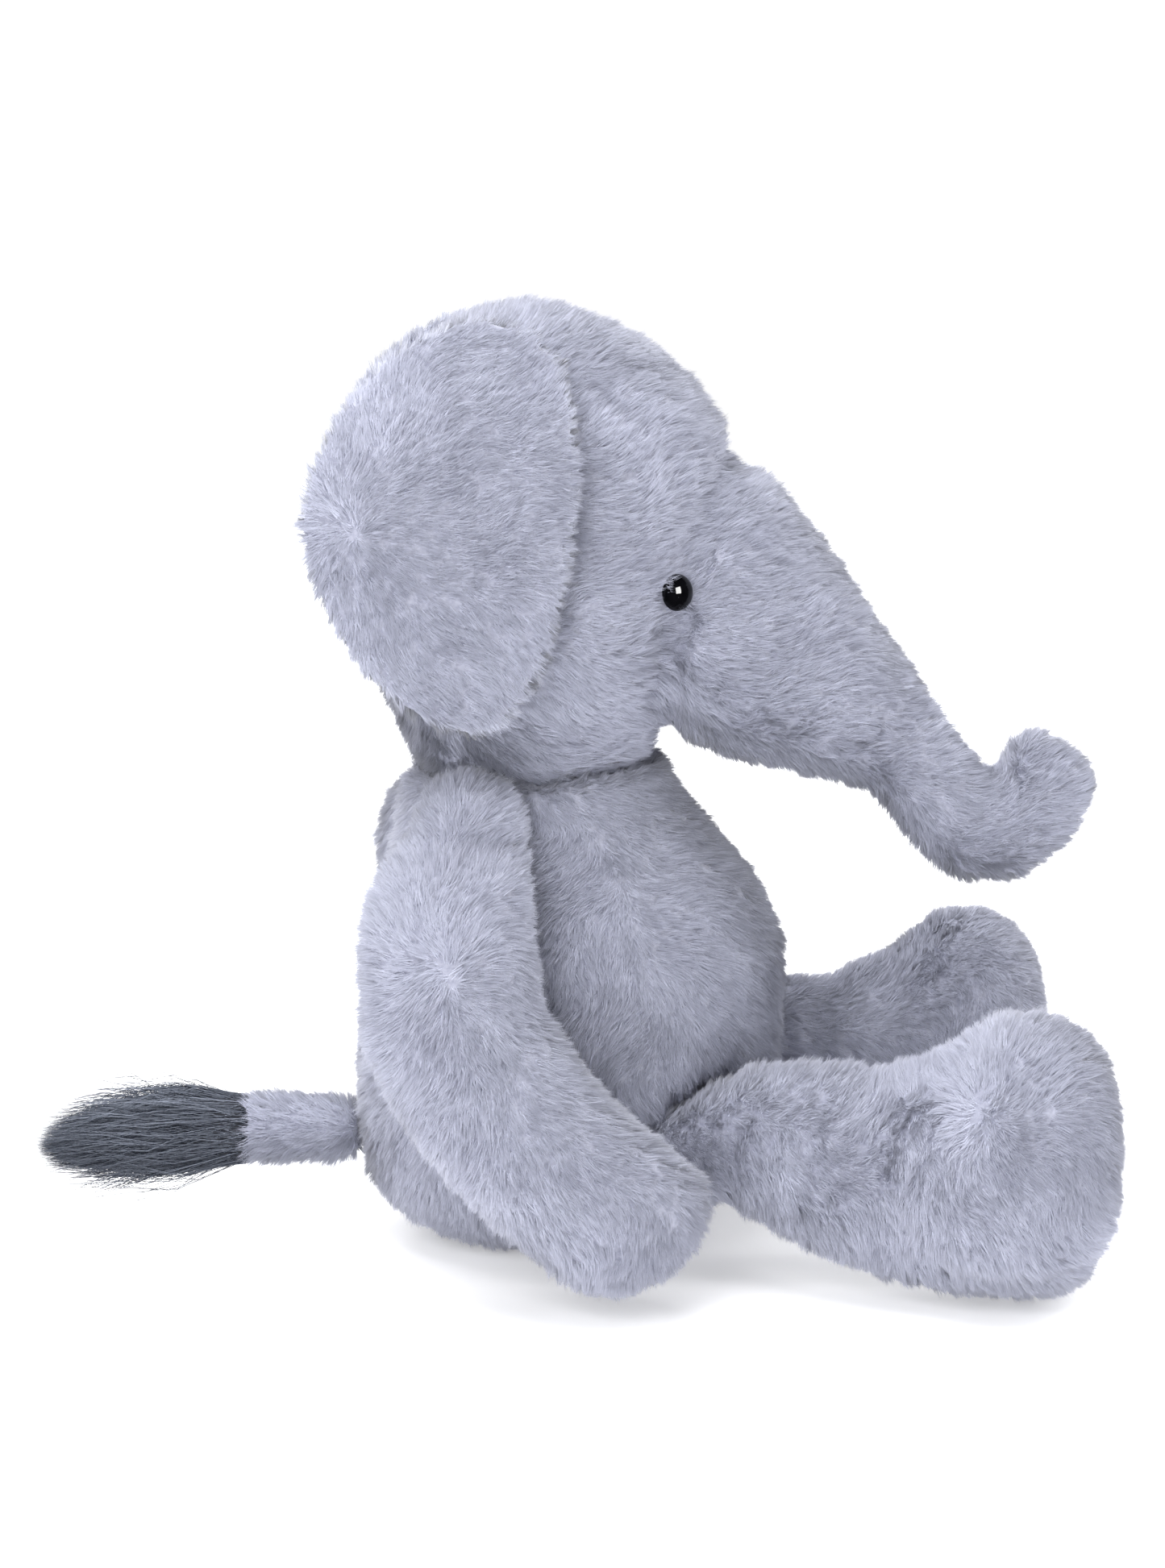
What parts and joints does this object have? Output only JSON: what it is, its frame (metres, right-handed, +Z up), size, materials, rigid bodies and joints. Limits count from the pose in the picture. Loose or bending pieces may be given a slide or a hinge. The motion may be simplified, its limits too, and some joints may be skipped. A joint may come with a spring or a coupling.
{
  "type": "stuffed elephant",
  "caption": "Soft pile-fabric elephant that sits upright with floppy limbs, hanging ears, a curled trunk and a tufted tail.",
  "frame": {"origin": "on the floor under the middle of the seated animal: the bottom centre of its box", "axes": "+Z up; the animal faces -Y, and its left side is +X"},
  "size_m": [0.235, 0.3495, 0.316],
  "materials": {
    "pile_fabric": "long soft lilac-grey pile, laid in whorls",
    "tuft_hair": "coarse dark slate hair",
    "fibre_filling": "loose white polyester fibre",
    "pellet_cloth": "plain woven cloth around plastic pellets",
    "eye_plastic": "polished black dome",
    "washer_plastic": "plain moulded nylon"
  },
  "bodies": {
    "torso": {"torso_cover": "pile_fabric", "torso_stuffing": "fibre_filling", "pellet_bag": "pellet_cloth"},
    "head": {"head_cover": "pile_fabric", "head_stuffing": "fibre_filling", "trunk_cover": "pile_fabric", "trunk_stuffing": "fibre_filling", "eye_left": "eye_plastic", "eye_right": "eye_plastic", "eye_washer_left": "washer_plastic", "eye_washer_right": "washer_plastic"},
    "trunk_tip": {"trunk_tip_cover": "pile_fabric", "trunk_tip_stuffing": "fibre_filling"},
    "ear_left": {"ear_back_left": "pile_fabric", "ear_front_left": "pile_fabric"},
    "ear_right": {"ear_back_right": "pile_fabric", "ear_front_right": "pile_fabric"},
    "arm_left": {"arm_cover_left": "pile_fabric", "arm_stuffing_left": "fibre_filling"},
    "arm_right": {"arm_cover_right": "pile_fabric", "arm_stuffing_right": "fibre_filling"},
    "leg_left": {"leg_cover_left": "pile_fabric", "leg_stuffing_left": "fibre_filling", "foot_sole_left": "pile_fabric"},
    "leg_right": {"leg_cover_right": "pile_fabric", "leg_stuffing_right": "fibre_filling", "foot_sole_right": "pile_fabric"},
    "tail": {"tail_cover": "pile_fabric", "tail_stuffing": "fibre_filling", "tail_tuft": "tuft_hair"}
  },
  "joints": [
    {"name": "neck_nod", "type": "hinge", "parent": "torso", "child": "head", "pos_m": [0, 0.014, 0.188], "axis": [-1, 0, 0], "range_deg": [-4, 15]},
    {"name": "trunk_curl", "type": "hinge", "parent": "head", "child": "trunk_tip", "pos_m": [0, -0.105, 0.173], "axis": [-1, 0, 0], "range_deg": [-10, 15]},
    {"name": "ear_left_flap", "type": "hinge", "parent": "head", "child": "ear_left", "pos_m": [0.06, -0.001, 0.25], "axis": [0.3401, 0, -0.9404], "range_deg": [0, 45]},
    {"name": "ear_right_flap", "type": "hinge", "parent": "head", "child": "ear_right", "pos_m": [-0.06, -0.001, 0.25], "axis": [0.3401, 0, 0.9404], "range_deg": [0, 45]},
    {"name": "arm_left_lift", "type": "hinge", "parent": "torso", "child": "arm_left", "pos_m": [0.052, 0.033, 0.15], "axis": [-0.5, -0.866, 0], "range_deg": [0, 40]},
    {"name": "arm_right_lift", "type": "hinge", "parent": "torso", "child": "arm_right", "pos_m": [-0.052, 0.033, 0.15], "axis": [-0.5, 0.866, 0], "range_deg": [0, 40]},
    {"name": "leg_left_swing", "type": "hinge", "parent": "torso", "child": "leg_left", "pos_m": [0.046, -0.032, 0.04], "axis": [-1, 0, 0], "range_deg": [-50, 10]},
    {"name": "leg_right_swing", "type": "hinge", "parent": "torso", "child": "leg_right", "pos_m": [-0.046, -0.032, 0.04], "axis": [-1, 0, 0], "range_deg": [-50, 10]},
    {"name": "tail_wag", "type": "hinge", "parent": "torso", "child": "tail", "pos_m": [0, 0.079, 0.037], "axis": [0, 0, 1], "range_deg": [-35, 35]}
  ]
}
